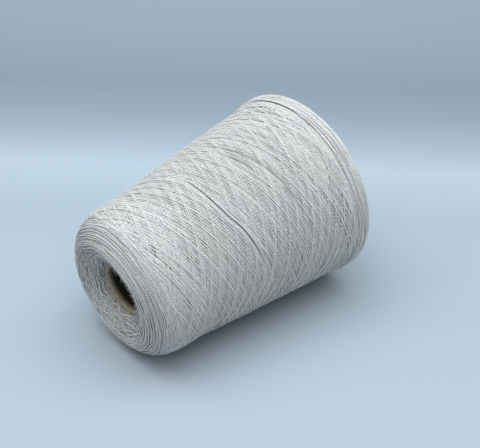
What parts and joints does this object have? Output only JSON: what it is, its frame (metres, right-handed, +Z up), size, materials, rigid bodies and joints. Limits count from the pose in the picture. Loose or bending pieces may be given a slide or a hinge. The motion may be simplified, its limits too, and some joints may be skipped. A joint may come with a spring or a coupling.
{
  "type": "cone of yarn",
  "caption": "Fine undyed yarn cross-wound on a conical paper core, lying on its side. The hollow core slips over a peg, and yarn draws off over the small end.",
  "frame": {"origin": "on the floor, under the middle of the cone's bounding box", "axes": "+X along the cone from its small end to its large end, +Z up, +Y across"},
  "size_m": [0.1666, 0.119, 0.1177],
  "materials": {
    "yarn": "matt off-white undyed yarn, finely wound, a little fuzzy",
    "paperboard": "matt grey-brown wound paperboard with a rolled nose"
  },
  "bodies": {
    "root": {"yarn_package": "yarn", "paper_core": "paperboard"}
  },
  "joints": []
}
